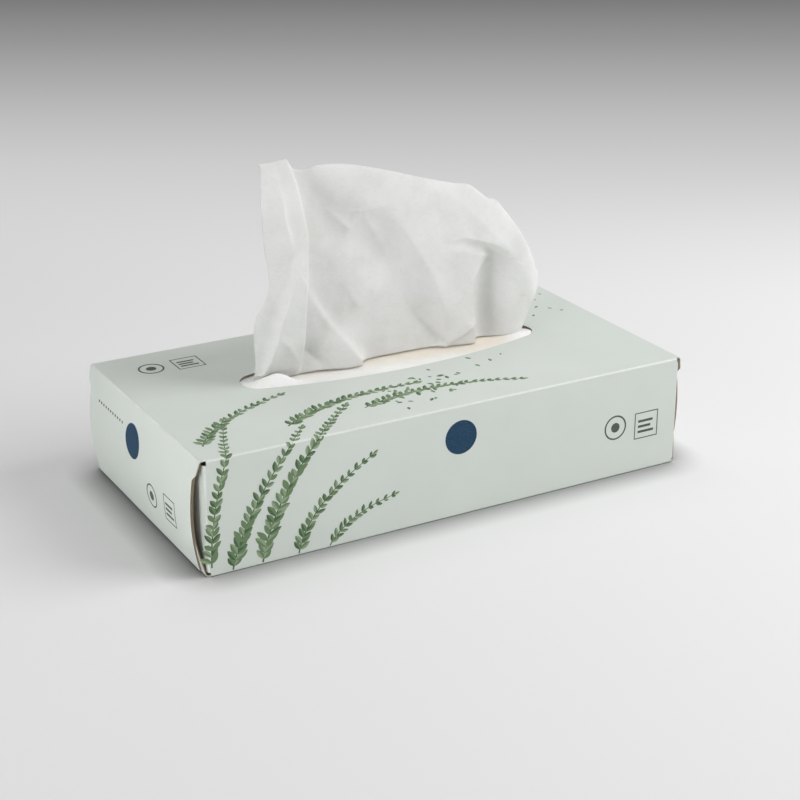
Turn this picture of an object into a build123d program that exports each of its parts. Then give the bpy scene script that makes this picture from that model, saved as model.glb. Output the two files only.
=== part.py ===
from build123d import *
import os
from math import cos, exp, hypot, pi, sin, sqrt

# Flat carton of facial tissues with one tissue drawn up through the oval mouth in its top.
# Millimetres, +Z up. The origin is the middle of the base, X runs along the carton and the
# long front panel faces -Y.

# Carton, fold to fold outside
LENGTH = 230.0
WIDTH = 121.0
HEIGHT = 50.0
BOARD = 0.5
FOLD_RADIUS = 1.0
GLUE_FLAP = 16.0
GLUE_BITE = 0.05

# Closed ends: dust flaps innermost, then the bottom flap, then the top flap outside
LAYER_GAP = 0.25
FLAP_BOW = 3.0
SHOULDER_DROP = 6.0
SHOULDER_TAPER = 1.0
FLAP_INSET = 4.0
TOP_FLAP_GAP = 1.4
BOTTOM_FLAP_TAPER = 15.0
BOTTOM_FLAP_GAP = 8.0
DUST_FLAP = 38.0
DUST_RELIEF = 2.0
DUST_TAPER = 9.0

# Oval mouth in the top panel
MOUTH_LENGTH = 145.0
MOUTH_WIDTH = 35.0
MOUTH_END_RADIUS = 9.0
MOUTH_X = 5.0
MOUTH_Y = 5.0

# Pad of tissues, as the room left round it in the carton
PAD_SIDE_GAP = 6.25
PAD_END_GAP = 8.0
PAD_HEADROOM = 6.0
PAD_SIDE_SWELL = 1.2
SHEET = 0.4
SEAT_GAP = 0.2

# Next tissue: it swells up behind the mouth's front lip, its slopes as shares of that rise
NEXT_CREST_GAP = 0.5
NEXT_LIP_LEAD = 3.5
NEXT_LIP_REACH = 17.5
NEXT_FRONT_SLOPE = 2.75
NEXT_BACK_SLOPE = 1.4
NEXT_BEND = 14.0

# Raised tissue. Places along the mouth are shares of its gathered half length, heights are shares
# of its height above the top panel, depths run back from the mouth's long axis
RAISED_HEIGHT = 96.0
GATHER_END_GAP = 1.5
LIP_GAP = 1.5
CREST = (
    ((-0.94, 0.97), (-0.68, 0.985), (-0.6, 0.92), (-0.52, 0.91), (-0.44, 0.92), (-0.2, 0.9), (0.3, 0.79))
    + ((0.55, 0.74), (0.72, 0.67), (0.86, 0.57), (0.96, 0.47), (1.04, 0.37), (1.1, 0.27))
)
HEM = (
    ((-0.94, 0.01), (-0.66, 0.01), (-0.5, 0.012), (-0.28, 0.008), (0.84, 0.006))
    + ((0.95, 0.008), (1.04, 0.04), (1.1, 0.14))
)
FOOT_ON_NEXT = ((-0.94, 1), (-0.64, 1), (-0.5, 0), (1.1, 0))
FOOT_LIFT = ((-0.94, 0), (0.84, 0), (0.93, 0.15), (1.1, 0.25))
MIDDLE = ((-0.94, 7), (0.3, 7), (0.6, 5), (0.85, 3), (1.1, 3))
FRONT_DEPTH = 5.0
BACK_DEPTH = 6.0
BACK_BELLY = 7.0
BACK_FLUTE = 3.2
FLUTE_PITCH = 0.3
CREST_POWER = 6
NOSE_START = 0.8
NOSE_CLOSED = 0.9

# Its left side is a narrow strip, folded flat in front of the rest
STRIP_EDGE = ((0, -0.64), (0.26, -0.62), (0.58, -0.6), (0.73, -0.61), (0.88, -0.63), (1.01, -0.66))
STRIP_SIDE = (
    ((0, -0.01), (0.05, -0.01), (0.23, -0.03), (0.32, -0.01), (0.4, 0.06), (0.49, 0.08))
    + ((0.66, 0.05), (0.84, 0.06), (1.01, 0.1))
)
STRIP_FORWARD = ((0, 7), (0.08, 8), (0.62, 8), (0.83, 6), (1.01, 3))
STRIP_STEP = 0.01
STRIP_TURN = -0.6
STRIP_OPEN = -0.5
PINCH = 2.0
PINCH_POWER = 40

# Sharp folds of its front: (place, height, rise) along each, then its reach on the left and right
FOLD_POWER = 1.05
FOLDS = (
    (((-0.63, 0.58, 0.5), (-0.70, 0.48, 3), (-0.79, 0.34, 3.5), (-0.89, 0.10, 3), (-0.92, -0.02, 2)), 9, 3),
    (((-0.78, 0.98, 0.8), (-0.77, 0.88, 1.2), (-0.76, 0.80, 1.2), (-0.76, 0.72, 0.5)), 3, 3),
    (((-0.76, 0.72, -0.6), (-0.77, 0.64, -1.6), (-0.82, 0.54, -0.4)), 3, 2),
    (((-0.59, 0.40, 0.8), (-0.46, 0.24, 4), (-0.34, 0.12, 6), (-0.24, 0.02, 7)), 7, 15),
    (((-0.59, 0.10, -3), (-0.48, 0.04, -3)), 3, 3),
    (((-0.41, 0.73, 0.3), (-0.25, 0.62, 1.5), (-0.18, 0.67, 0.3)), 2.5, 4),
    (((-0.15, 0.66, 0.4), (-0.08, 0.59, 1.5), (-0.01, 0.51, 0.3)), 2.5, 5),
    (((-0.32, 0.39, 0.3), (-0.23, 0.27, 1.1), (-0.15, 0.25, 0.3)), 5, 2.5),
    (((-0.31, 0.51, 0.2), (-0.15, 0.48, 1.0), (-0.04, 0.41, 0.3)), 2.5, 4),
    (((-0.06, 0.73, 0), (0.13, 0.54, 2), (0.28, 0.34, 3.4), (0.35, 0.18, 3.4), (0.39, 0.01, 2)), 13, 6),
    (((0.07, 0.28, 0), (0.17, 0.19, -2.4), (0.39, 0.02, -4)), 4, 5),
    (((0.41, 0, 2), (0.56, 0.08, 3.2), (0.62, 0.11, 1)), 2.5, 2.5),
    (((0.72, 0.41, 0.5), (0.58, 0.31, 5), (0.59, 0.10, 6), (0.66, 0.03, 4)), 4, 7),
    (((0.37, 0.49, 0), (0.51, 0.51, 2.2), (0.69, 0.47, 4), (0.80, 0.42, 3), (0.88, 0.36, 0)), 12, 5),
    (((0.24, 0.80, 0.3), (0.51, 0.67, 1.4), (0.73, 0.49, 1.4), (0.87, 0.38, 0.4)), 4, 7),
)

# Broad swells and hollows of its front, in the same form
SWELL_POWER = 2
SWELLS = (
    (((-0.49, 0.78, -4), (-0.07, 0.52, -5)), 12, 12),
    (((0.79, 0.31, -5), (0.82, 0.15, -9), (0.77, 0.04, -5)), 9, 9),
    (((0.97, 0.33, 3), (1.03, 0.17, 5), (0.94, 0.02, 4)), 7, 7),
    (((-0.49, 0.08, 3), (-0.35, 0.04, 4)), 10, 10),
)

# Facets of the raised tissue: places along it, then rows up its front and back, closer at the crest
STATIONS = (
    (-0.94, -0.88, -0.82, -0.77, -0.72, -0.68, -0.65, -0.62, -0.59, -0.54, -0.48, -0.41, -0.34)
    + (-0.28, -0.23, -0.17, -0.1, -0.02, 0.06, 0.14, 0.22, 0.29, 0.35, 0.4, 0.45, 0.5, 0.55)
    + (0.585, 0.62, 0.67, 0.73, 0.79, 0.85, 0.91, 0.96, 1.01, 1.06, 1.1)
)
FRONT_ROWS = 18
BACK_ROWS = 8
TURN_START = 0.87
TURN_LEVELS = (0.92, 0.96, 0.99, 1)


def tube_end():
    """Place along X where the front and back panels turn into the dust flaps."""
    return layer_x(2) - bend_radius()


def bend_radius():
    """Radius of a fold at the middle of the board."""
    return FOLD_RADIUS - BOARD / 2


def layer_x(layer):
    """Middle of an end flap at its fold, counted from the outermost layer."""
    return LENGTH / 2 - BOARD / 2 - layer * (BOARD + LAYER_GAP)


def end_bow(layer):
    """Centre and radius of the arc on which an end flap bulges outwards."""
    half_height = HEIGHT / 2 - FOLD_RADIUS
    radius = (half_height**2 + FLAP_BOW**2) / (2 * FLAP_BOW)
    centre = Vector(layer_x(0) + FLAP_BOW - radius, HEIGHT / 2)
    return centre, radius - layer * (BOARD + LAYER_GAP)


def tube():
    """Four panels and the glue flap, folded round the length of the carton."""
    front_y = -WIDTH / 2 + BOARD / 2
    back_y = -front_y
    seam_y = back_y - BOARD + GLUE_BITE
    base_z = BOARD / 2
    top_z = HEIGHT - base_z
    bend = bend_radius()
    upper = FilletPolyline(
        (seam_y, HEIGHT - GLUE_FLAP),
        (seam_y, top_z),
        (front_y, top_z),
        (front_y, base_z),
        (0, base_z),
        radius=bend,
    )
    lower = FilletPolyline((0, base_z), (back_y, base_z), (back_y, HEIGHT - FOLD_RADIUS), radius=bend)
    sections = [Plane.YZ * trace(path, BOARD) for path in (upper, lower)]
    strips = [extrude(section, amount=tube_end(), both=True) for section in sections]
    return strips[0] + strips[1]


def folded_end(layer, hinge_z, free_z):
    """Bowed flap across the whole end, from its hinge at the top or the base to its free edge."""
    centre, radius = end_bow(layer)
    bend = bend_radius()
    turn = 1 if hinge_z > centre.Y else -1
    flat_z = hinge_z - turn * BOARD / 2
    fold_z = flat_z - turn * bend
    fold_centre = Vector(centre.X + sqrt((radius - bend) ** 2 - (fold_z - centre.Y) ** 2), fold_z)
    outwards = (fold_centre - centre).normalized()
    fold_start = fold_centre + Vector(0, turn * bend)
    fold_middle = fold_centre + (outwards + Vector(0, turn)).normalized() * bend
    fold_end = fold_centre + outwards * bend
    free_edge = centre + Vector(sqrt(radius**2 - (free_z - centre.Y) ** 2), free_z - centre.Y)
    panel_middle = centre + (outwards + (free_edge - centre).normalized()).normalized() * radius
    path = [
        Line((tube_end(), flat_z), fold_start),
        ThreePointArc(fold_start, fold_middle, fold_end),
        ThreePointArc(fold_end, panel_middle, free_edge),
    ]
    return extrude(Plane.XZ * trace(path, BOARD), amount=WIDTH, both=True)


def end_outline(half_outline):
    """Prism that trims an end flap to an outline given for its half at +Y."""
    mirrored = [(-y, z) for y, z in reversed(half_outline)]
    outline = make_face(Polyline(*half_outline, *mirrored, close=True))
    return extrude(Plane.YZ * outline, amount=LENGTH)


def top_flap():
    """Outer end flap: wide shoulders under the fold, then an inset straight edge."""
    hinge_y = WIDTH / 2 - FOLD_RADIUS
    shoulder_z = HEIGHT - SHOULDER_DROP
    shoulder_y = hinge_y - SHOULDER_TAPER
    edge_y = WIDTH / 2 - FOLD_RADIUS - FLAP_INSET
    half_outline = [
        (hinge_y, HEIGHT + BOARD),
        (hinge_y, HEIGHT - FOLD_RADIUS),
        (shoulder_y, shoulder_z),
        (edge_y, shoulder_z - (shoulder_y - edge_y)),
        (edge_y, -BOARD),
    ]
    return folded_end(0, HEIGHT, TOP_FLAP_GAP) & end_outline(half_outline)


def bottom_flap():
    """Inner end flap: full width at the base fold, tapering upwards."""
    hinge_y = WIDTH / 2 - FOLD_RADIUS
    edge_y = hinge_y - FLAP_INSET
    half_outline = [
        (edge_y, HEIGHT),
        (edge_y, BOTTOM_FLAP_TAPER),
        (hinge_y, FOLD_RADIUS),
        (hinge_y, -BOARD),
    ]
    return folded_end(1, 0, HEIGHT - BOTTOM_FLAP_GAP) & end_outline(half_outline)


def dust_flap():
    """Flap folded in from the front panel, relieved at top and base."""
    x = layer_x(2)
    bend = bend_radius()
    front_y = -WIDTH / 2 + BOARD / 2
    fold = ThreePointArc(
        (x - bend, front_y),
        (x - bend + bend * sin(pi / 4), front_y + bend - bend * sin(pi / 4)),
        (x, front_y + bend),
    )
    free_y = -WIDTH / 2 + DUST_FLAP
    panel = Line((x, front_y + bend), (x, free_y))
    board = extrude(trace([fold, panel], BOARD), amount=HEIGHT)
    outline = Polyline(
        (-WIDTH / 2 - BOARD, DUST_RELIEF),
        (-WIDTH / 2 + FOLD_RADIUS, DUST_RELIEF),
        (free_y + BOARD, DUST_RELIEF + DUST_TAPER),
        (free_y + BOARD, HEIGHT - DUST_RELIEF - DUST_TAPER),
        (-WIDTH / 2 + FOLD_RADIUS, HEIGHT - DUST_RELIEF),
        (-WIDTH / 2 - BOARD, HEIGHT - DUST_RELIEF),
        close=True,
    )
    return board & extrude(Plane.YZ * make_face(outline), amount=LENGTH)


def mouth_side_radius():
    """Radius of the mouth's long sides, tangent to its round ends."""
    half_length = MOUTH_LENGTH / 2
    half_width = MOUTH_WIDTH / 2
    reach = half_length - MOUTH_END_RADIUS
    return (reach**2 + half_width**2 - MOUTH_END_RADIUS**2) / (2 * (half_width - MOUTH_END_RADIUS))


def mouth_half_width(along):
    """Half width of the mouth at a distance from its middle."""
    side = mouth_side_radius()
    reach = MOUTH_LENGTH / 2 - MOUTH_END_RADIUS
    centre = side - MOUTH_WIDTH / 2
    if abs(along) <= reach * side / (side - MOUTH_END_RADIUS):
        return sqrt(side**2 - along**2) - centre
    return sqrt(max(MOUTH_END_RADIUS**2 - (abs(along) - reach) ** 2, 0))


def mouth():
    """Oval cutter of four tangent arcs through the top panel."""
    side = mouth_side_radius()
    half_length = MOUTH_LENGTH / 2
    half_width = MOUTH_WIDTH / 2
    x = (half_length - MOUTH_END_RADIUS) * side / (side - MOUTH_END_RADIUS)
    y = mouth_half_width(x)
    oval = [
        ThreePointArc((-x, -y), (0, -half_width), (x, -y)),
        ThreePointArc((x, -y), (half_length, 0), (x, y)),
        ThreePointArc((x, y), (0, half_width), (-x, y)),
        ThreePointArc((-x, y), (-half_length, 0), (-x, -y)),
    ]
    cutter = extrude(make_face(oval), amount=HEIGHT)
    return Pos(MOUTH_X, MOUTH_Y, HEIGHT / 2) * cutter


def carton():
    """The whole blank, folded and glued."""
    near_dust = dust_flap()
    end = top_flap() + bottom_flap() + near_dust + mirror(near_dust, about=Plane.XZ)
    return tube() + end + mirror(end, about=Plane.YZ) - mouth()


def pad_half_length():
    """Half the pad's length, which is half the width of a tissue."""
    return layer_x(2) - BOARD / 2 - PAD_END_GAP


def pad_half_width():
    """Half the pad's width at its fullest, a quarter of the length of a tissue."""
    return WIDTH / 2 - BOARD - PAD_SIDE_GAP


def stack_top():
    """Height of the pad's upper face."""
    return HEIGHT - BOARD - PAD_HEADROOM


def tissue_stack():
    """Pad of interleaved sheets: rounded folds along the sides, cut edges at the ends."""
    half = pad_half_width()
    edge = half - PAD_SIDE_SWELL
    top = stack_top()
    middle = (BOARD + top) / 2
    section = make_face(
        [
            Line((-edge, BOARD), (edge, BOARD)),
            ThreePointArc((edge, BOARD), (half, middle), (edge, top)),
            Line((edge, top), (-edge, top)),
            ThreePointArc((-edge, top), (-half, middle), (-edge, BOARD)),
        ]
    )
    return extrude(Plane.YZ * section, amount=pad_half_length(), both=True)


def next_top():
    """Height of the next tissue's upper side behind the mouth's front lip."""
    return HEIGHT - BOARD - NEXT_CREST_GAP


def next_tissue():
    """Top sheet of the pad, swelling up to the mouth's front lip."""
    low = stack_top() + SHEET / 2
    crest = next_top() - SHEET / 2
    lip_y = MOUTH_Y - MOUTH_WIDTH / 2
    crest_start = lip_y - NEXT_LIP_LEAD
    crest_end = lip_y + NEXT_LIP_REACH
    path = FilletPolyline(
        (PAD_SIDE_SWELL - pad_half_width(), low),
        (crest_start - NEXT_FRONT_SLOPE * (crest - low), low),
        (crest_start, crest),
        (crest_end, crest),
        (crest_end + NEXT_BACK_SLOPE * (crest - low), low),
        radius=NEXT_BEND,
    )
    return extrude(Plane.YZ * trace(path, SHEET), amount=pad_half_length(), both=True)


def smooth(points, at):
    """Value at one place on a smooth curve through a few (place, value) points."""
    last = len(points) - 1
    slopes = []
    for index in range(last + 1):
        here = points[index][1]
        before = points[max(index - 1, 0)]
        after = points[min(index + 1, last)]
        turns = (here - before[1]) * (after[1] - here) <= 0
        slopes.append(0 if turns else (after[1] - before[1]) / (after[0] - before[0]))
    span = 0
    while span < last - 1 and at > points[span + 1][0]:
        span += 1
    (start, low), (end, high) = points[span], points[span + 1]
    width = end - start
    share = min(max((at - start) / width, 0), 1)
    rest = 1 - share
    ends = low * rest * rest * (1 + 2 * share) + high * share * share * (3 - 2 * share)
    return ends + width * share * rest * (slopes[span] * rest - slopes[span + 1] * share)


def gather():
    """Half the length into which the raised tissue is gathered."""
    return MOUTH_LENGTH / 2 - GATHER_END_GAP


def share_between(start, end, at):
    """How far a place lies from start to end, held between 0 and 1."""
    return min(max((at - start) / (end - start), 0), 1)


def beside_fold(start, end, along, height):
    """Distance from one stretch of a fold, the rise there, and whether the place is on its left."""
    run = (end[0] - start[0]) * gather()
    climb = (end[1] - start[1]) * RAISED_HEIGHT
    x = (along - start[0]) * gather()
    z = (height - start[1]) * RAISED_HEIGHT
    share = share_between(0, run**2 + climb**2, x * run + z * climb)
    away = hypot(x - share * run, z - share * climb)
    rise = start[2] + (end[2] - start[2]) * share
    return away, rise, run * z - climb * x > 0


def fold_rise(folds, power, along, height):
    """How far folds bring the raised tissue's front forward at one place."""
    total = 0
    for points, left_reach, right_reach in folds:
        stretches = zip(points, points[1:])
        away, rise, on_left = min(beside_fold(start, end, along, height) for start, end in stretches)
        reach = left_reach if on_left else right_reach
        total += rise * exp(-((away / reach) ** power))
    return total


def closing(level, power):
    """How open the folded sheet still is at a share of the way up to its crest."""
    return sqrt(1 - level**power)


def plumpness(station):
    """How full the raised tissue is along the mouth: it closes to a nose at its right end."""
    return sqrt(1 - (NOSE_CLOSED * share_between(NOSE_START, STATIONS[-1], station)) ** 2)


def levels(rows):
    """Shares of the way up to the crest at which a side of the raised tissue has points."""
    return [TURN_START * row / rows for row in range(rows + 1)] + list(TURN_LEVELS)


def front_place(station, height, level):
    """Place along the mouth and depth of the raised tissue's front."""
    turned = share_between(STRIP_TURN, STATIONS[0], station)
    along = station + smooth(STRIP_SIDE, height) * turned
    strip = 1 / (1 + exp((along - smooth(STRIP_EDGE, height)) / STRIP_STEP))
    folds = fold_rise(FOLDS, FOLD_POWER, along, height)
    swells = fold_rise(SWELLS, SWELL_POWER, along, height)
    forward = (FRONT_DEPTH + folds + swells) * closing(level, CREST_POWER) * plumpness(station)
    return along, smooth(MIDDLE, station) - forward - smooth(STRIP_FORWARD, height) * strip


def back_depth(station, level):
    """Depth of the raised tissue's fluted back."""
    middle = smooth(MIDDLE, station)
    lip = max(mouth_half_width(station * gather()) - LIP_GAP, BACK_DEPTH)
    flute = BACK_FLUTE * cos(2 * pi * station / FLUTE_PITCH)
    belly = (BACK_BELLY + flute) * sin(pi * level) ** 2
    behind = min(middle + BACK_DEPTH, lip) - middle + belly
    return middle + behind * closing(level, CREST_POWER) * plumpness(station)


def raised_point(along, depth, height):
    """Point of the raised tissue in the carton's frame."""
    return Vector(MOUTH_X + along * gather(), MOUTH_Y + depth, HEIGHT + height * RAISED_HEIGHT)


def raised_line(station):
    """Line of the raised tissue across the mouth: up its front, over the crest, down its back."""
    crest = smooth(CREST, station)
    hem = smooth(HEM, station)
    seat = stack_top() + (next_top() - stack_top()) * smooth(FOOT_ON_NEXT, station)
    foot = (seat + SEAT_GAP - HEIGHT) / RAISED_HEIGHT + smooth(FOOT_LIFT, station)
    opened = share_between(STATIONS[0], STRIP_OPEN, station)
    opened = opened**2 * (3 - 2 * opened)
    line = []
    for level in levels(FRONT_ROWS):
        height = hem + (crest - hem) * level
        along, front = front_place(station, height, level)
        line.append(raised_point(along, front, height))
    for level in reversed(levels(BACK_ROWS)[:-1]):
        height = foot + (crest - foot) * level
        along, front = front_place(station, height, level)
        apart = (back_depth(station, level) - front) * opened
        apart = max(apart, PINCH * closing(level, PINCH_POWER))
        line.append(raised_point(along, front + apart, height))
    return line


def moved_inwards(lines):
    """Side by side lines of points, moved inwards by the thickness of the sheet."""
    moved = []
    last_line = len(lines) - 1
    last_point = len(lines[0]) - 1
    for column, line in enumerate(lines):
        left = lines[max(column - 1, 0)]
        right = lines[min(column + 1, last_line)]
        inner = []
        for row, point in enumerate(line):
            sideways = right[row] - left[row]
            onwards = line[min(row + 1, last_point)] - line[max(row - 1, 0)]
            inner.append(point - sideways.cross(onwards).normalized() * SHEET)
        moved.append(inner)
    return moved


def facets(line, beside):
    """Flat triangles between two lines of points that run side by side."""
    faces = []
    for corner, ahead, across, back in zip(line, line[1:], beside[1:], beside):
        faces.append(Face(Wire.make_polygon([corner, ahead, across])))
        faces.append(Face(Wire.make_polygon([corner, across, back])))
    return faces


def raised_tissue():
    """One sheet folded over itself, its back edge on the pad and its front hem over the mouth."""
    outside = [raised_line(station) for station in STATIONS]
    inside = moved_inwards(outside)
    faces =facets(outside[0], inside[0]) + facets(outside[-1], inside[-1])
    for side in (outside, inside):
        for line, beside in zip(side, side[1:]):
            faces += facets(line, beside)
    for edge in (0, -1):
        faces += facets([line[edge] for line in outside], [line[edge] for line in inside])
    return Solid(Shell(faces))


def main():
    """Write every piece to its own file."""
    os.makedirs("parts", exist_ok=True)
    pieces = {
        "carton": carton(),
        "tissue_stack": tissue_stack(),
        "next_tissue": next_tissue(),
        "raised_tissue": raised_tissue(),
    }
    for name, piece in pieces.items():
        export_step(piece, f"parts/{name}.step")


main()
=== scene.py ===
import math
import random

import bpy
import numpy as np
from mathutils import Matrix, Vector


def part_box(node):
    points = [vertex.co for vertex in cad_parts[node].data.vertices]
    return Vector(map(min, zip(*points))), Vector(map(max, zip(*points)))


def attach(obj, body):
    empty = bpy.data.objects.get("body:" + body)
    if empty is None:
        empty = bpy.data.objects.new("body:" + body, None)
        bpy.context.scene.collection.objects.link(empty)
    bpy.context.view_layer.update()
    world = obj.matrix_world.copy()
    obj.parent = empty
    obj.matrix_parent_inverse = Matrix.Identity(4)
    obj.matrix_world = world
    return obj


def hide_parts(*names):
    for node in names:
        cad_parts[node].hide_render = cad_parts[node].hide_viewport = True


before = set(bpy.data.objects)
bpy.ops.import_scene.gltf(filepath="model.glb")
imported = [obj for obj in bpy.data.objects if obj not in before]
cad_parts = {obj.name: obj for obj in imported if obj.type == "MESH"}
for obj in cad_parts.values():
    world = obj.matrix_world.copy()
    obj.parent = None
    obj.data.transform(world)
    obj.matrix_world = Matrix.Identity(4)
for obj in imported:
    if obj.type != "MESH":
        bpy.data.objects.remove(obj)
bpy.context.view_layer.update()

# Looks of a flat carton of tissues: printed folding board, a soft pad inside, and one tissue
# drawn up through the mouth. Sizes are in millimetres in this file and in metres in the scene.
MM = 0.001

# Carton, read from the frame
CARTON_LOW, CARTON_HIGH = [[value / MM for value in corner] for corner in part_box("carton")]
STACK_LOW, STACK_HIGH = [[value / MM for value in corner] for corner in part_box("tissue_stack")]
NEXT_LOW, NEXT_HIGH = [[value / MM for value in corner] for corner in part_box("next_tissue")]
WIDTH = CARTON_HIGH[1] - CARTON_LOW[1]
HEIGHT = CARTON_HIGH[2]
LENGTH = 230.0
BOARD = 0.5
FOLD_RADIUS = 1.0

# Mouth in the top panel
MOUTH_LENGTH = 145.0
MOUTH_WIDTH = 35.0
MOUTH_END_RADIUS = 9.0
MOUTH_X = 5.0
MOUTH_Y = 5.0

# View
EYE = (-351.4, -637.2, 329.2)
TARGET = (1.78, -8.57, 33.88)
LENS = 79.96
SENSOR = 36.0

# Light from all round, and from the side that the front panel faces
WORLD_LIGHT = 0.51
WORLD_FRONT = 0.3

# Lamps: name, place, aim, width and power, in metres and watts, and spread in degrees
LAMPS = (
    ("key", (0.76, -0.47, 0.7), (0.03, 0, 0.05), 0.8, 8.2, 180),
    ("overhead", (0.12, 0.34, 0.95), (0.02, 0, 0.03), 0.7, 1.1, 180),
    ("left_fill", (-0.85, -0.12, 0.14), (0, 0, 0.02), 0.4, 1.7, 180),
    ("tissue_fill", (-0.72, -0.3, 0.16), (0, 0, 0.1), 0.2, 0.03, 16),
)

# Floor: its colour, how far and how much a painted contact shadow darkens it where the carton meets it,
# # and the greys of painted falloff that it fades into by distance from the camera's foot
FLOOR_REACH = 6000.0
FLOOR_COLOUR = (232, 232, 232)
PAINTED_SHADOW_REACH = 16.0
PAINTED_SHADOW_DEPTH = 1.2
FLOOR_FADE = (900.0, 1300.0)
FLOOR_NEAR = 900.0
FLOOR_FAR = 2000.0
PAINTED_FALLOFF_GREYS = (
    ((0.0, 228), (0.15, 218), (0.33, 204), (0.45, 190))
    + ((0.58, 172), (0.75, 149), (0.92, 128), (1.0, 118))
)

# Drawn tissue: places along the mouth are shares of its gathered half length, heights are shares
# of its own height above the top panel, depths are in millimetres
RAISED_HEIGHT = 96.0
END_GAP = 1.5
GATHER = MOUTH_LENGTH / 2 - END_GAP
ALONG_START = -0.94
ALONG_END = 1.1
CREST = (
    ((-0.94, 0.97), (-0.68, 0.972), (-0.6, 0.92), (-0.52, 0.91), (-0.44, 0.92), (-0.2, 0.9), (0.3, 0.79))
    + ((0.48, 0.752), (0.59, 0.737), (0.66, 0.698), (0.72, 0.662), (0.775, 0.65), (0.82, 0.61), (0.86, 0.575))
    + ((0.93, 0.51), (0.98, 0.455), (1.04, 0.37), (1.1, 0.27))
)
HEM = (
    ((-0.94, -0.004), (-0.66, -0.004), (-0.5, -0.002), (-0.28, -0.003), (0.84, -0.005))
    + ((0.95, -0.002), (1.04, 0.03), (1.1, 0.14))
)
FOOT_LIFT = ((-0.94, 0), (0.84, 0), (0.93, 0.15), (1.1, 0.25))
FOOT_ON_NEXT = ((-0.94, 1), (-0.64, 1), (-0.5, 0), (1.1, 0))
MIDDLE = ((-0.94, 7), (0.3, 7), (0.6, 5), (0.85, 3), (1.1, 3))

# Its left strip, folded forward, and its right nose: side shifts and depths by height
STRIP_EDGE = (
    ((0, -0.64), (0.26, -0.62), (0.45, -0.6), (0.55, -0.588), (0.64, -0.575), (0.73, -0.583))
    + ((0.82, -0.6), (0.9, -0.628), (1.01, -0.66))
)
STRIP_SIDE = (
    ((0, -0.01), (0.05, -0.01), (0.23, -0.03), (0.32, -0.01), (0.4, 0.06), (0.49, 0.08))
    + ((0.66, 0.05), (0.84, 0.06), (1.01, 0.1))
)
STRIP_FORWARD = ((0, 1), (0.05, 4), (0.14, 7), (0.25, 8), (0.62, 8), (0.83, 6), (1.01, 3))
STRIP_STEP = 0.005
STRIP_END = -0.6
NOSE_SIDE = ((0, -0.12), (0.08, -0.08), (0.22, 0), (1.01, 0))
NOSE_START = 0.8
NOSE_CLOSED = 0.985

# Its front and back, and the gathers of the back
FRONT_DEPTH = 5.0
BACK_DEPTH = 6.0
BACK_BELLY = 7.0
BELLY_POWER = 1.2
BACK_OPEN = -0.5
BACK_FLUTE = 9.0
FLUTE_PITCH = 0.26
FLUTE_SWAY = 1.9
FLUTE_SWAY_RATE = 4.3
FLUTE_LEAN = 1.6
FLUTE_MEAN = 0.8
FLUTE_CHANGE = 0.3
FLUTE_CHANGE_RATES = (6, 2)
PINCH = 0.3
PINCH_POWER = 40
CREST_POWER = 6
LIP_GAP = 1.5
SEAT_GAP = 0.2
SHEET = 0.12
CREASE_ANGLE = 28

# Its mesh: columns in each stretch along the mouth, closer at the strip's edge and the ridge, and
# rows up the front, over the crest from the level where that starts to round, and down the back
COLUMNS = ((-0.94, -0.7, 30), (-0.7, -0.56, 34), (-0.56, 0.52, 88), (0.52, 0.68, 36), (0.68, 1.1, 42))
FRONT_ROWS = 124
CREST_START = 0.9
CREST_ROWS = 16
BACK_ROWS = 40

# The rest of the sheet, still in the carton: it trails back over the pad behind the mouth
TAIL = 34.0
TAIL_ROWS = 11
TAIL_SHARE = ((-0.94, 0.02), (-0.5, 0.02), (-0.4, 1), (0.7, 1), (0.82, 0.02), (1.1, 0.02))
TAIL_LIFT = 0.4
TAIL_CLEAR = 1.2
TAIL_SPREAD = 0.35

# Soft crumple of the sheets: depths, and the seed and pitch of each
OCTAVES = 3
WAVES = 4
WAVE_BEND = (0.5, 1.5)
WAVE_SWAY = 2.3
FRONT_CRUMPLE = 0.3
FRONT_WRINKLES = (3, 34)
BACK_CRUMPLE = 0.5
BACK_WRINKLES = (5, 30)
TAIL_WRINKLES = (7, 40)
NEXT_CRUMPLE = 0.25
NEXT_CRUMPLE_FLAT = 0.25
NEXT_WRINKLES = (11, 46)

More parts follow.
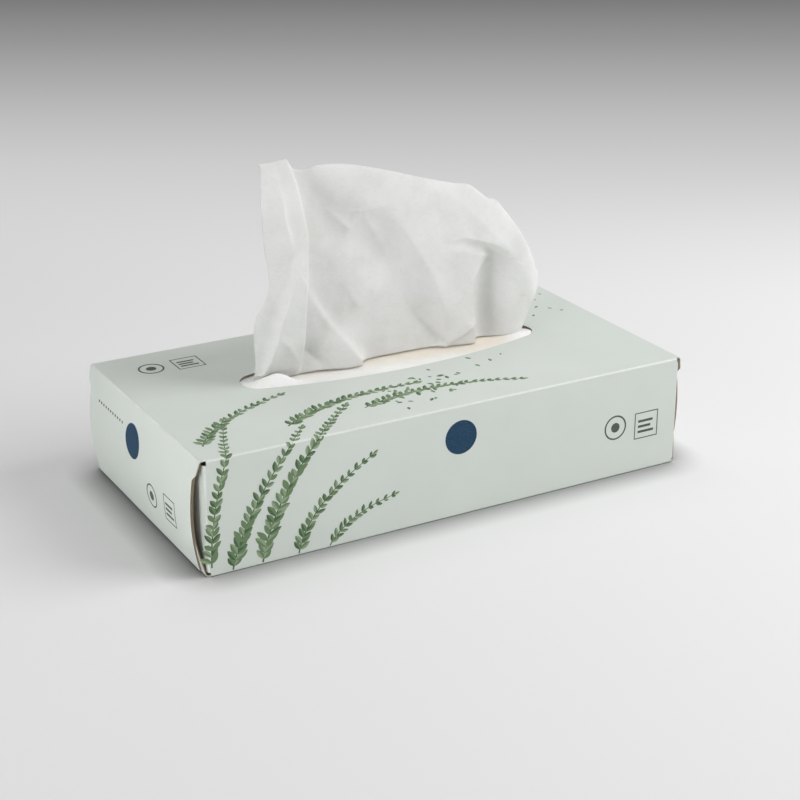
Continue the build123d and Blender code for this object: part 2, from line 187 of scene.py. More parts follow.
# Sharp folds of the drawn tissue's front: (place, height, rise) along each, reach on its left and right
FOLD_POWER = 1.05
FOLDS = (
    # Strip
    (((-0.63, 0.58, 0.5), (-0.70, 0.48, 4), (-0.79, 0.34, 5), (-0.89, 0.10, 4.5), (-0.92, -0.02, 2)), 8, 2.2),
    (
        ((-0.78, 0.97, 2), (-0.75, 0.81, 3.2), (-0.75, 0.73, 3.2), (-0.72, 0.64, 2.4), (-0.72, 0.56, 0.4)),
        2, 7,
    ),
    (((-0.70, 0.58, -0.4), (-0.725, 0.50, -2), (-0.745, 0.43, -1.6), (-0.76, 0.38, -0.2)), 3, 2.5),
    (((-0.85, 0.24, 0.3), (-0.76, 0.17, 1.8), (-0.68, 0.08, 0.8)), 2.5, 2.5),
    # Flare beside it
    (((-0.59, 0.40, 0.5), (-0.46, 0.24, 2.2), (-0.34, 0.12, 3.6), (-0.24, 0.02, 4.8)), 2.2, 17),
    (((-0.59, 0.10, -2), (-0.48, 0.04, -2)), 3, 3),
    # Fine creases of the middle
    (((-0.41, 0.73, 0.3), (-0.25, 0.62, 2), (-0.18, 0.67, 0.3)), 2.5, 4),
    (((-0.15, 0.66, 0.4), (-0.08, 0.59, 2.1), (-0.01, 0.51, 0.3)), 2.5, 5),
    (((-0.27, 0.69, 0.2), (-0.08, 0.70, 1.5), (-0.01, 0.71, 0.2)), 2.5, 3),
    (((-0.04, 0.41, 0.3), (-0.10, 0.32, 1.7), (-0.15, 0.25, 0.3)), 2, 6),
    (((-0.32, 0.39, 0.3), (-0.23, 0.27, 1.5), (-0.15, 0.25, 0.3)), 5, 2.5),
    (((-0.31, 0.51, 0.2), (-0.15, 0.48, 1.4), (-0.04, 0.41, 0.3)), 2.5, 4),
    # Long fold right of the middle, the valley below it and the creases at its foot
    (((-0.06, 0.73, 0), (0.13, 0.54, 2.6), (0.28, 0.34, 4.4), (0.35, 0.18, 4.2), (0.39, 0.01, 2)), 13, 6),
    (((0.07, 0.28, 0), (0.17, 0.19, -2.4), (0.39, 0.02, -4)), 4, 5),
    (((0.37, 0, 2), (0.44, 0.08, 2), (0.48, 0.16, 0.5)), 1.5, 3),
    (((0.38, 0, 2), (0.52, 0.09, 3.2), (0.56, 0.12, 1)), 2.5, 2.5),
    # Ridge, brow and the creases round them
    (((0.70, 0.42, 0.5), (0.55, 0.31, 4.5), (0.555, 0.20, 5.5), (0.56, 0.10, 6.5), (0.58, 0.02, 6)), 0.6, 12),
    (((0.37, 0.49, 0), (0.51, 0.51, 1.8), (0.69, 0.47, 4), (0.80, 0.42, 3.2), (0.88, 0.36, 0)), 12, 1.1),
    (((0.40, 0.46, 0.5), (0.50, 0.45, 2.2), (0.62, 0.42, 3), (0.70, 0.40, 1)), 3, 9),
    (((0.24, 0.80, 0.3), (0.51, 0.67, 1.4), (0.73, 0.49, 1.4), (0.87, 0.38, 0.4)), 4, 7),
)

# Broad swells and hollows of its front, in the same form
SWELL_POWER = 2
SWELLS = (
    (((-0.49, 0.78, -4), (-0.07, 0.52, -5)), 12, 12),
    (((0.70, 0.35, -3.5), (0.67, 0.18, -5.5), (0.67, 0.04, -4)), 7.5, 7.5),
    (((0.97, 0.33, 3), (1.03, 0.17, 5), (0.94, 0.02, 4)), 7, 7),
    (((-0.49, 0.08, 3), (-0.35, 0.04, 4)), 10, 10),
)

# Next tissue: how far it swells from the pad up to the mouth, across the carton
NEXT_COLUMNS = 240
NEXT_ROWS = 90
NEXT_GAP = 0.1
SWELL = ((-53, 0), (-36, 0.02), (-20, 0.95), (-12, 1), (6, 1), (10, 0.96), (14, 0.5))
SWELL_BACK = 14.0
SWELL_FURTHER = ((-105, 9), (-56, 9), (-46, 0), (60, 0), (66, 6), (105, 6))
SWELL_RISE = 5.2
MOUTH_EDGE_GAP = 0.4
UNDER_TOP_GAP = 0.35

# Where it curls up out of the mouth: X, Y, half length, half width and rise of each curl
CURLS = ((-52, -1, 6, 3, 4.6), (-60, -0.5, 7, 3.4, 3.8), (-66, 4, 4, 6, 1.6), (70, 1, 8, 5, 1.8))

# Pad: sheets shown along its sides, and the waves of its sides as depth, rate and phase
PAD_LEAVES = 34
PAD_LEAF_STEPS = 4
PAD_RIPPLE = 0.35
PAD_SWELL = 1.2
PAD_STATIONS = 40
PAD_WAVES = ((0.25, 0.11, 0), (0.15, 0.29, 1))
PAD_WAVE_SPAN = 60

# Ink lies on the board as a thin film, each patch a little higher than the one before
INK = 0.03
INK_MOST = 0.09
INK_STEP = 0.0015
INK_FOOT = 0.01
RING_STEP = 1.5
DISC_HUB = 0.2
BAR_ROWS = 4

# Sprigs on the front and top, in the unfolded plane: X, and the way up the front and over the top
SPRIGS = (
    ((-112, 3), (-112, 34), (-94, 74), 1.0),
    ((-103, 0), (-97, 26), (-66, 60), 1.1),
    ((-90, 0), (-84, 34), (-40, 72), 1.15),
    ((-74, 0), (-70, 20), (-40, 36), 0.95),
    ((-60, 0), (-52, 12), (-30, 16), 0.8),
    ((-108, 62), (-96, 84), (-58, 96), 1.0),
    ((-70, 64), (-44, 84), (-2, 80), 1.05),
    ((-34, 66), (0, 80), (40, 62), 0.9),
)
PRINT_SEED = 21
STEM_STEPS = 3
STEM_HALF = 0.32
STEM_TAPER = 0.6

# Leaves: the size of the largest, the ranges drawn from, and what is lost towards a sprig's tip
LEAF_PITCH = 3.3
LEAF_LENGTH = 5.2
LEAF_WIDTH = 2.3
LEAF_ROWS = 9
LEAF_START = 0.04
LEAF_SPAN = 0.93
LEAF_FULLNESS = 0.85
LEAF_CURL = 0.12
LEAN_RANGE = (32, 58)
LENGTH_RANGE = (0.8, 1.15)
WIDTH_RANGE = (0.85, 1.15)
LEAN_LOSS = 0.35
LENGTH_LOSS = 0.45
WIDTH_LOSS = 0.35
LEAF_TONES = ([0, 1], [1, 2], [0, 1], [1, 1], [2, 1])
TIP_SIZE = 0.6
TIP_TONES = [1, 2]

# Leaves blown off the sprigs, along a line over the top
LOOSE_LEAVES = 95
LOOSE_START = (-20, 62)
LOOSE_RUN = (125, 84)
LOOSE_SPREAD = (8, 7)
LOOSE_CROWDING = 1.4
LOOSE_SIZE = (0.35, 0.75)
LOOSE_LOSS = 0.4
LOOSE_BREADTH = 1.2
LOOSE_TONES = ([0, 1], [1, 2])
LOOSE_MARGIN = 5.0
LOOSE_END_MARGIN = 3.5
MOUTH_TIP = 0.5
MOUTH_REACH = MOUTH_LENGTH / 2 - MOUTH_TIP
MOUTH_CLEAR = MOUTH_LENGTH / 2 + LOOSE_END_MARGIN

# Plain marks: discs, then a ring's middle, a square's low corner and the square's size on each panel
NAVY, GREY = 0, 1
DISC_RADIUS = 7.6
FRONT_DISC = (1.7, 35.8)
END_DISC = (-5.6, 34.3)
FRONT_MARKS = ((80.6, 23.5), (91.0, 15.5), 12.5)
END_MARKS = ((14.0, 17.5), (27.5, 13.0), 11.5)
TOP_MARKS = ((-94.0, 41.0), (-83.5, 34.0), 12.5)

# Parts of a mark, as shares of its size
RING_OUTER = 0.46
RING_INNER = 0.40
RING_DOT = 0.18
BAR_START = 0.15
BAR_ENDS = (0.825, 0.69, 0.78)
BAR_LOW = 0.22
BAR_PITCH = 0.2
BAR_HEIGHT = 0.09

# Lines and dots of the marks
SQUARE_LINE = 0.45
SQUARE_SHARES = (0, 0.25, 0.5, 0.75)
RING_DOT_SIDES = 24
DOTS = 11
DOT_START = (-17.5, 38.4)
DOT_PITCH = 2.7
DOT_RADIUS = 0.62
DOT_SIDES = 12

# Colours as 8-bit screen values, in pairs where noise mixes two
COAT = ((206, 213, 206), (213, 219, 213))
COAT_FIBRE = (190, 198, 190)
COAT_WORN = (236, 237, 232)
RAW_BOARD = ((186, 177, 160), (206, 198, 184))
BOARD_CORE = ((128, 108, 84), (170, 150, 124))
TISSUE_WHITES = ((250, 250, 249), (243, 243, 241))
TISSUE_PAINTED_SHADE = (239, 228, 209)
TISSUE_SPECK = (226, 226, 224)
LEAF_INKS = (
    ("leaf_dark", (66, 94, 62), (82, 108, 76)),
    ("leaf_mid", (98, 124, 88), (116, 138, 104)),
    ("leaf_pale", (134, 154, 122), (150, 166, 138)),
)
MARK_INKS = (("navy_ink", (28, 58, 84), (36, 70, 96)), ("grey_ink", (70, 82, 74), (88, 100, 92)))
INK_GAP = (205, 212, 205)

# Noises: scale per metre, detail and roughness
COAT_CLOUD = (55.0, 3.0, 0.5)
FIBRE = (2600.0, 2.0, 0.5)
SCUFF = (900.0, 5.0, 0.7)
WARP = (18.0, 1.0, 0.5)
RAW_GRAIN = (1800.0, 3.0, 0.5)
CORE_GRAIN = (3000.0, 3.0, 0.5)
TISSUE_CLOUD = (60.0, 5.0, 0.6)
CREPE = (1500.0, 3.0, 0.6)
CRUMPLE = (130.0, 2.0, 0.4)
MOTTLE = (700.0, 4.0, 0.6)

# Board: where its cut edges lie, its worn folds, and its surface with bump heights in metres
END_DEPTH = 7.0
FLAP_INSET = 0.3
PANEL_CLEAR = 0.9
LIP_SLACK = 0.02
RIM_SLACK = 0.05
MOUTH_SHARE = 0.6
STEEP = 0.5
END_ON = 0.9
FOLD_TURN = (0.985, 0.8)
SCUFF_RANGE = (0.42, 0.68)
WEAR_GAIN = 0.5
WEAR_BASE = 0.2
FIBRE_SHARE = 0.12
COAT_ROUGHNESS = 0.4
COAT_ROUGHNESS_GAIN = 0.1
BARE_ROUGHNESS_GAIN = 0.4
BOARD_SPECULAR = 0.4
FIBRE_HEIGHT = 0.000012
WARP_HEIGHT = 0.0008
BOARD_BUMP = 0.35

# Tissue: light that passes, the painted warm shade deep in the mouth, and its crepe, in metres of height
TISSUE_THROUGH = 0.36
INSIDE_THROUGH = 0.05
INSIDE_PAINTED_SHADE = 0.8
PAINTED_SHADE_WAY = (0.12, 1.0, 0.0)
PAINTED_SHADE_RANGE = (-9.0, 8.0)
PAINTED_SHADE_MIDDLE = 8.0
PAINTED_SHADE_ENDS = (60.0, 46.0)
WHITE_RANGE = (0.35, 0.7)
SPECK_RANGE = (0.45, 0.75)
SPECK_SHARE = 0.3
CREPE_STRETCH = (0.35, 1.0, 1.6)
CREPE_HEIGHT = 0.00005
CRUMPLE_HEIGHT = 0.00035
TISSUE_BUMP = 0.5
TISSUE_ROUGHNESS = 0.92
TISSUE_SPECULAR = 0.15

# Ink's surface
INK_GAP_RANGE = (0.35, 0.75)
INK_GAP_SHARE = 0.04
INK_ROUGHNESS = 0.5
INK_ROUGHNESS_GAIN = 0.15
INK_SPECULAR = 0.08


def smooth(points, at):
    """Values on a smooth curve through a few (place, value) points, at an array of places."""
    places = np.array([point[0] for point in points], float)
    values = np.array([point[1] for point in points], float)
    slopes = np.zeros(len(points))
    rising = (values[1:-1] - values[:-2]) * (values[2:] - values[1:-1]) > 0
    slopes[1:-1] = np.where(rising, (values[2:] - values[:-2]) / (places[2:] - places[:-2]), 0)
    span = np.clip(np.searchsorted(places, at, side="left") - 1, 0, len(points) - 2)
    width = places[span + 1] - places[span]
    share = np.clip((at - places[span]) / width, 0, 1)
    rest = 1 - share
    ends = values[span] * rest**2 * (1 + 2 * share) + values[span + 1] * share**2 * (3 - 2 * share)
    return ends + width * share * rest * (slopes[span] * rest - slopes[span + 1] * share)


def fold_rise(folds, power, along, height):
    """How far folds bring the sheet forward, at arrays of places and heights."""
    total = np.zeros_like(along)
    for points, left_reach, right_reach in folds:
        nearest = np.full_like(along, np.inf)
        rise = np.zeros_like(along)
        reach = np.ones_like(along)
        for (start, start_height, start_rise), (end, end_height, end_rise) in zip(points, points[1:]):
            run, climb = (end - start) * GATHER, (end_height - start_height) * RAISED_HEIGHT
            x, z = (along - start) * GATHER, (height - start_height) * RAISED_HEIGHT
            share = np.clip((x * run + z * climb) / (run**2 + climb**2), 0, 1)
            away = np.hypot(x - share * run, z - share * climb)
            on_left = run * z - climb * x > 0
            closer = away < nearest
            nearest = np.where(closer, away, nearest)
            rise = np.where(closer, start_rise + (end_rise - start_rise) * share, rise)
            reach = np.where(closer, np.where(on_left, left_reach, right_reach), reach)
        total += rise * np.exp(-((nearest / reach) ** power))
    return total


def mouth_half_width(along):
    """Half width of the mouth at distances from its middle."""
    half_width, half_length = MOUTH_WIDTH / 2, MOUTH_LENGTH / 2
    reach = half_length - MOUTH_END_RADIUS
    side = (reach**2 + half_width**2 - MOUTH_END_RADIUS**2) / (2 * (half_width - MOUTH_END_RADIUS))
    long_side = np.sqrt(side**2 - along**2) - (side - half_width)
    round_end = np.sqrt(np.maximum(MOUTH_END_RADIUS**2 - np.maximum(np.abs(along) - reach, 0) ** 2, 0))
    return np.where(np.abs(along) <= reach * side / (side - MOUTH_END_RADIUS), long_side, round_end)


def wrinkles(x, z, seed, pitch):
    """Soft crumple of a sheet: folded sine waves that run in turned directions, from -1 to 1."""
    draw = random.Random(seed)
    total = np.zeros_like(x)
    weight = 0
    for octave in range(OCTAVES):
        size = pitch / 2**octave
        for _ in range(WAVES):
            turn = draw.uniform(0, math.pi)
            phase = draw.uniform(0, 2 * math.pi)
            bend = draw.uniform(*WAVE_BEND)
            across = x * math.cos(turn) + z * math.sin(turn)
            beside = z * math.cos(turn) - x * math.sin(turn)
            sway = bend * np.sin(2 * math.pi * beside / (size * WAVE_SWAY) + phase)
            wave = np.sin(2 * math.pi * across / size + sway)
            total += (1 - 2 * np.abs(wave)) / 2**octave
            weight += 1 / 2**octave
    return total / weight


def softened(values, passes):
    """Round off the sharpest steps of a grid of values."""
    for _ in range(passes):
        padded = np.pad(values, 1, mode="edge")
        around = padded[:-2, 1:-1] + padded[2:, 1:-1] + padded[1:-1, :-2] + padded[1:-1, 2:]
        values = 0.5 * values + 0.125 * around
    return values


def add_mesh(name, points, faces):
    """Object in the scene from points in millimetres and faces."""
    mesh = bpy.data.meshes.new(name)
    mesh.from_pydata((np.array(points) * MM).tolist(), [], faces)
    made = bpy.data.objects.new(name, mesh)
    bpy.context.collection.objects.link(made)
    return made


def add_sheet(name, points):
    """Smooth sheet over a grid of points, rows by columns, with its thickness on the inner side."""
    rows, columns = points.shape[:2]
    index = np.arange(rows * columns).reshape(rows, columns)
    faces = np.stack([index[:-1, :-1], index[:-1, 1:], index[1:, 1:], index[1:, :-1]], -1).reshape(-1, 4)
    piece = add_mesh(name, points.reshape(-1, 3), faces.tolist())
    piece.data.shade_smooth()
    solid = piece.modifiers.new("thickness", "SOLIDIFY")
    solid.thickness = SHEET * MM
    solid.offset = -1
    return piece


def sheet_points(along, y, height):
    """Grid of points from places along the mouth, depths and heights above the top panel."""
    return np.stack([MOUTH_X + along * GATHER, y, HEIGHT + height * RAISED_HEIGHT], -1)


def crest_levels():
    """Levels of the rows that round the crest."""
    turn = np.linspace(math.asin(CREST_START ** (CREST_POWER / 2)), math.pi / 2, CREST_ROWS)
    return np.sin(turn) ** (2 / CREST_POWER)


def closed_by(level, power):
    """Share of its depth that the sheet keeps at a level, down to none at the crest."""
    return np.sqrt(np.maximum(1 - level**power, 0))


def front_depth(station, height, closing):
    """Place along the mouth and depth of the drawn sheet's front, and how plump it is there."""
    left_share = np.clip((STRIP_END - station) / (STRIP_END - ALONG_START), 0, 1)
    right_share = np.clip((station - NOSE_START) / (ALONG_END - NOSE_START), 0, NOSE_CLOSED)
    along = station + smooth(STRIP_SIDE, height) * left_share + smooth(NOSE_SIDE, height) * right_share
    plump = np.sqrt(1 - right_share**2)
    strip = 1 / (1 + np.exp((along - smooth(STRIP_EDGE, height)) / STRIP_STEP))
    rise = fold_rise(FOLDS, FOLD_POWER, along, height) + fold_rise(SWELLS, SWELL_POWER, along, height)
    rise += FRONT_CRUMPLE * wrinkles(along * GATHER, height * RAISED_HEIGHT, *FRONT_WRINKLES)
    forward = (FRONT_DEPTH + rise) * closing * plump + smooth(STRIP_FORWARD, height) * strip
    return along, MOUTH_Y + smooth(MIDDLE, station) - forward, plump


def drawn_front(stations):
    """Front of the drawn sheet, from its hem up to the crest."""
    levels = np.concatenate([np.linspace(0, CREST_START, FRONT_ROWS)[:-1], crest_levels()])
    station, level = np.meshgrid(stations, levels)
    crest, hem = smooth(CREST, stations), smooth(HEM, stations)
    height = hem + (crest - hem) * level
    along, y, _ = front_depth(station, height, closed_by(level, CREST_POWER))
    return sheet_points(along, softened(y, passes=1), height)


def back_belly(station, level, along, height):
    """How far the drawn sheet's back swells out, in gathers that sway along the mouth."""
    turn = 2 * math.pi * station / FLUTE_PITCH + FLUTE_SWAY * np.sin(FLUTE_SWAY_RATE * station)
    turn += FLUTE_LEAN * level
    change = FLUTE_CHANGE * np.sin(FLUTE_CHANGE_RATES[0] * station + FLUTE_CHANGE_RATES[1] * level)
    flute = BACK_FLUTE * (FLUTE_MEAN + change) * np.cos(turn)
    crumple = BACK_CRUMPLE * wrinkles(along * GATHER, height * RAISED_HEIGHT, *BACK_WRINKLES)
    return (BACK_BELLY + flute + crumple) * np.sin(math.pi * level) ** BELLY_POWER


def drawn_back(stations):
    """Back of the drawn sheet, from the crest down to the pad, pinched to the front at its left."""
    levels = np.concatenate([crest_levels()[::-1][1:], np.linspace(CREST_START, 0, BACK_ROWS)[1:]])
    station, level = np.meshgrid(stations, levels)
    on_pad = (STACK_HIGH[2] + SEAT_GAP - HEIGHT) / RAISED_HEIGHT
    on_next = (NEXT_HIGH[2] + SEAT_GAP - HEIGHT) / RAISED_HEIGHT
    foot = on_pad + (on_next - on_pad) * smooth(FOOT_ON_NEXT, stations) + smooth(FOOT_LIFT, stations)
    height = foot + (smooth(CREST, stations) - foot) * level
    closing = closed_by(level, CREST_POWER)
    along, front_y, plump = front_depth(station, height, closing)
    middle = smooth(MIDDLE, station)
    lip = np.maximum(mouth_half_width(station * GATHER) - LIP_GAP, BACK_DEPTH)
    belly = back_belly(station, level, along, height)
    depth = (np.minimum(middle + BACK_DEPTH, lip) - middle + belly) * closing * plump
    opening = np.clip((station - ALONG_START) / (BACK_OPEN - ALONG_START), 0, 1)
    opening = opening**2 * (3 - 2 * opening)
    pinch = PINCH * closed_by(level, PINCH_POWER)
    back_y = MOUTH_Y + middle + depth
    y = np.maximum(front_y + pinch, front_y + (back_y - front_y) * opening)
    return sheet_points(along, softened(y, passes=2), height)


def drawn_tail(stations, edge):
    """Rest of the drawn sheet, from the lowest row of its back out over the pad."""
    x, share = np.meshgrid(edge[:, 0], np.linspace(0, 1, TAIL_ROWS + 1)[1:])
    back = share * smooth(TAIL_SHARE, stations)
    y = edge[:, 1] + TAIL * back
    z = edge[:, 2] + TAIL_LIFT * (TAIL_CLEAR + wrinkles(x, y, *TAIL_WRINKLES)) * back
    return np.stack([MOUTH_X + (x - MOUTH_X) * (1 + TAIL_SPREAD * back), y, z], -1)


def raised_tissue():
    """The drawn sheet: up its front, over the crest, down its back to the pad and over that."""
    stretches = [np.linspace(start, end, count, endpoint=False) for start, end, count in COLUMNS]
    stations = np.concatenate(stretches + [[ALONG_END]])
    front, rear = drawn_front(stations), drawn_back(stations)
    tail = drawn_tail(stations, rear[-1])
    piece = add_sheet("drawn_tissue", np.concatenate([front, rear, tail]))
    piece.data.set_sharp_from_angle(angle=math.radians(CREASE_ANGLE))
    return piece


def next_tissue():
    """Leading part of the next sheet, swollen up into the mouth behind its front lip."""
    ends = np.linspace(NEXT_LOW[0], NEXT_HIGH[0], NEXT_COLUMNS)
    x, share = np.meshgrid(ends, np.linspace(0, 1, NEXT_ROWS))
    further = smooth(SWELL_FURTHER, x)
    y = NEXT_LOW[1] + (SWELL_BACK + further - NEXT_LOW[1]) * share
    into_mouth = np.clip((y - MOUTH_Y + MOUTH_WIDTH / 2) / MOUTH_WIDTH * 2, 0, 1)
    swell = smooth(SWELL, y - further * into_mouth)
    low = STACK_HIGH[2] + SHEET + NEXT_GAP
    z = low + SWELL_RISE * swell
    z += NEXT_CRUMPLE * wrinkles(x, y, *NEXT_WRINKLES) * (NEXT_CRUMPLE_FLAT + swell)
    for curl_x, curl_y, curl_length, curl_width, rise in CURLS:
        z += rise * np.exp(-(((x - curl_x) / curl_length) ** 2) - ((y - curl_y) / curl_width) ** 2)
    from_middle = np.clip(x - MOUTH_X, -MOUTH_LENGTH / 2, MOUTH_LENGTH / 2)
    in_mouth = np.abs(y - MOUTH_Y) < mouth_half_width(from_middle) - MOUTH_EDGE_GAP
    z = np.where(in_mouth, z, np.minimum(z, HEIGHT - BOARD - UNDER_TOP_GAP))
    z = np.maximum(softened(z, passes=2), low)
    return add_sheet("next_sheet", np.stack([x, y, z], -1)[::-1, ::-1])


def tissue_pad():
    """Pad of folded sheets: rippled rounded sides where the folds lie, level top and base."""
    low, high = np.array(STACK_LOW), np.array(STACK_HIGH)
    heights = np.linspace(low[2], high[2], PAD_LEAVES * PAD_LEAF_STEPS + 1)
    share = (heights - low[2]) / (high[2] - low[2])
    bulge = PAD_SWELL * (1 - (2 * share - 1) ** 2) - PAD_SWELL
    ripple = PAD_RIPPLE * (np.abs(np.sin(math.pi * PAD_LEAVES * share)) - 1)
    half = high[1] + bulge + ripple
    ring = [(-y, z) for y, z in zip(half, heights)] + [(y, z) for y, z in zip(half[::-1], heights[::-1])]
    points = []
    for x in np.linspace(low[0], high[0], PAD_STATIONS):
        wave = sum(depth * math.sin(x * rate + phase) for depth, rate, phase in PAD_WAVES)
        points += [(x, y * (1 + wave / PAD_WAVE_SPAN), z) for y, z in ring]
    index = np.arange(len(points)).reshape(PAD_STATIONS, len(ring))
    following = np.roll(index, -1, axis=1)
    faces = np.stack([index[:-1], index[1:], following[1:], following[:-1]], -1).reshape(-1, 4).tolist()
    faces += [index[0].tolist(), index[-1][::-1].tolist()]
    return add_mesh("tissue_pad", points, faces)


def on_wrap(u, v, lift):
    """Point on the printed side, from the front panel's base fold up and over to the top."""
    flat = HEIGHT - 2 * FOLD_RADIUS
    arc = FOLD_RADIUS * math.pi / 2
    front_y = -WIDTH / 2
    if v <= flat:
        return (u, front_y - lift, FOLD_RADIUS + v)
    if v <= flat + arc:
        angle = (v - flat) / FOLD_RADIUS
        reach = FOLD_RADIUS + lift
        fold_y, fold_z = front_y + FOLD_RADIUS, HEIGHT - FOLD_RADIUS
        return (u, fold_y - reach * math.cos(angle), fold_z + reach * math.sin(angle))
    return (u, front_y + FOLD_RADIUS + v - flat - arc, HEIGHT + lift)


def on_front(u, v, lift):
    """Point on the front panel, u along it and v up from the base."""
    return on_wrap(u, v - FOLD_RADIUS, lift)


def on_top(u, v, lift):
    """Point on the top panel, by its X and Y."""
    return (u, v, HEIGHT + lift)


def on_end(u, v, lift):
    """Point on the bowed left end, u from its back to its front and v up from the base."""
    half_height = HEIGHT / 2 - FOLD_RADIUS
    bow = -CARTON_LOW[0] - LENGTH / 2
    radius = (half_height**2 + bow**2) / (2 * bow)
    angle = math.asin((v - HEIGHT / 2) / (radius + BOARD / 2))
    reach = radius + BOARD / 2 + lift
    centre = LENGTH / 2 - BOARD / 2 + bow - radius
    return (-centre - reach * math.cos(angle), -u, HEIGHT / 2 + reach * math.sin(angle))


class Ink:
    """Thin closed patches of ink that follow the board."""

    def __init__(self, name):
        self.name = name
        self.points = []
        self.faces = []
        self.inks = []
        self.lift = INK

    def strip(self, place, rows, inks, closed=False, filled=False):
        """Patch from rows of (u, v) points; inks gives the material of each column of faces.
        A closed patch runs round to its first row again, and a filled one has no hole amid."""
        start = len(self.points)
        count, columns = len(rows), len(rows[0])
        steps = (self.lift - INK) / INK_STEP + 1 if self.lift < INK_MOST else 0
        self.lift = INK + INK_STEP * steps
        for lift in (self.lift, INK_FOOT):
            for row in rows:
                self.points += [place(u, v, lift) for u, v in row]

        def at(layer, row, column):
            return start + layer * count * columns + row * columns + column

        for row in range(count if closed else count - 1):
            for column in range(columns - 1):
                beyond = (row + 1) % count
                quad = [(row, column), (row, column + 1), (beyond, column + 1), (beyond, column)]
                self.faces.append([at(0, *corner) for corner in quad])
                self.faces.append([at(1, *corner) for corner in reversed(quad)])
                self.inks += [inks[column]] * 2
        inside = [(row, 0) for row in range(count - 1, -1, -1)]
        outside = [(row, columns - 1) for row in range(count)]
        if filled:
            self.faces.append([at(0, *corner) for corner in reversed(inside)])
            self.faces.append([at(1, *corner) for corner in inside])
            self.inks += [inks[0]] * 2
            borders = [outside]
        elif closed:
            borders = [outside, inside]
        else:
            first = [(0, column) for column in range(columns - 1)]
            last = [(count - 1, column) for column in range(columns - 2, 0, -1)]
            borders = [first + outside + last + inside[:-1]]
        for border in borders:
            for here, after in zip(border, border[1:] + border[:1]):
                self.faces.append([at(0, *after), at(0, *here), at(1, *here), at(1, *after)])
                self.inks.append(inks[0])

    def ring(self, place, middle, outer, inner, ink, sides=40, filled=False):
        """Flat ring."""
        rows = []
        steps = max(1, round((outer - inner) / RING_STEP))
        for side in range(sides):
            angle = 2 * math.pi * side / sides
            rows.append([(middle[0] + radius * math.cos(angle), middle[1] + radius * math.sin(angle))
                         for radius in np.linspace(inner, outer, steps + 1)])
        self.strip(place, rows, [ink] * steps, closed=True, filled=filled)

    def disc(self, place, middle, radius, ink, sides=40):
        """Flat disc."""
        self.ring(place, middle, radius, radius * DISC_HUB, ink, sides, filled=True)

    def square(self, place, low, size, line, ink):
        """Flat square of thin lines."""
        corners = ((0, 0), (1, 0), (1, 1), (0, 1))
        rows = []
        for (u, v), (to_u, to_v) in zip(corners, corners[1:] + corners[:1]):
            for share in SQUARE_SHARES:
                across, up = u + (to_u - u) * share, v + (to_v - v) * share
                row = []
                for inset in (line, 0):
                    side = size - 2 * inset
                    row.append((low[0] + inset + side * across, low[1] + inset + side * up))
                rows.append(row)
        self.strip(place, rows, [ink], closed=True)

    def bar(self, place, low, high, ink):
        """Flat upright rectangle."""
        rows = [[(low[0], v), (high[0], v)] for v in np.linspace(low[1], high[1], BAR_ROWS)]
        self.strip(place, rows, [ink])

    def leaf(self, place, foot, angle, length, width, inks):
        """Pointed leaf in two halves along its rib, with a slight curl to one side."""
        rows = []
        for share in np.linspace(0, 1, LEAF_ROWS):
            half = width / 2 * math.sin(math.pi * (share * LEAF_SPAN + LEAF_START)) ** LEAF_FULLNESS
            curl = LEAF_CURL * length * share * share
            row = []
            for side in (-1, 0, 1):
                along, beside = share * length, side * half + curl
                row.append((foot[0] + along * math.cos(angle) - beside * math.sin(angle),
                            foot[1] + along * math.sin(angle) + beside * math.cos(angle)))
            rows.append(row[::-1])
        self.strip(place, rows, inks)

    def build(self, materials):
        """Turn the patches into one piece."""
        piece = add_mesh(self.name, self.points, self.faces)
        for material in materials:
            piece.data.materials.append(material)
        piece.data.polygons.foreach_set("material_index", self.inks)
        piece.data.update()
        return piece


def stem_points(start, bend, end, steps):
    """Places and headings along a sprig's stem, a curve from its foot past a bend to its tip."""
    stem = []
    for step in range(steps + 1):
        share = step / steps
        rest = 1 - share
        u = start[0] * rest**2 + 2 * bend[0] * share * rest + end[0] * share**2
        v = start[1] * rest**2 + 2 * bend[1] * share * rest + end[1] * share**2
        du = 2 * rest * (bend[0] - start[0]) + 2 * share * (end[0] - bend[0])
        dv = 2 * rest * (bend[1] - start[1]) + 2 * share * (end[1] - bend[1])
        stem.append((u, v, math.atan2(dv, du)))
    return stem


def print_sprig(ink, draw, start, bend, end, size):
    """One stem with pairs of leaves, smaller towards its tip, and a leaf at the tip."""
    run = math.dist(start, bend) + math.dist(bend, end)
    steps = int(run / LEAF_PITCH) * STEM_STEPS
    stem = stem_points(start, bend, end, steps)
    rows = []
    for step, (u, v, angle) in enumerate(stem):
        half = STEM_HALF * size * (1 - STEM_TAPER * step / len(stem))
        side = (-math.sin(angle) * half, math.cos(angle) * half)
        rows.append([(u + side[0], v + side[1]), (u - side[0], v - side[1])])
    ink.strip(on_wrap, rows, [0])
    for step in range(STEM_STEPS - 1, steps, STEM_STEPS):
        u, v, angle = stem[step]
        share = step / steps
        for side in (-1, 1):
            lean = side * math.radians(draw.uniform(*LEAN_RANGE) * (1 - LEAN_LOSS * share))
            length = LEAF_LENGTH * size * (1 - LENGTH_LOSS * share) * draw.uniform(*LENGTH_RANGE)
            width = LEAF_WIDTH * size * (1 - WIDTH_LOSS * share) * draw.uniform(*WIDTH_RANGE)
            ink.leaf(on_wrap, (u, v), angle + lean, length, width, draw.choice(LEAF_TONES))
    u, v, angle = stem[-1]
    ink.leaf(on_wrap, (u, v), angle, LEAF_LENGTH * size * TIP_SIZE, LEAF_WIDTH * size * TIP_SIZE, TIP_TONES)


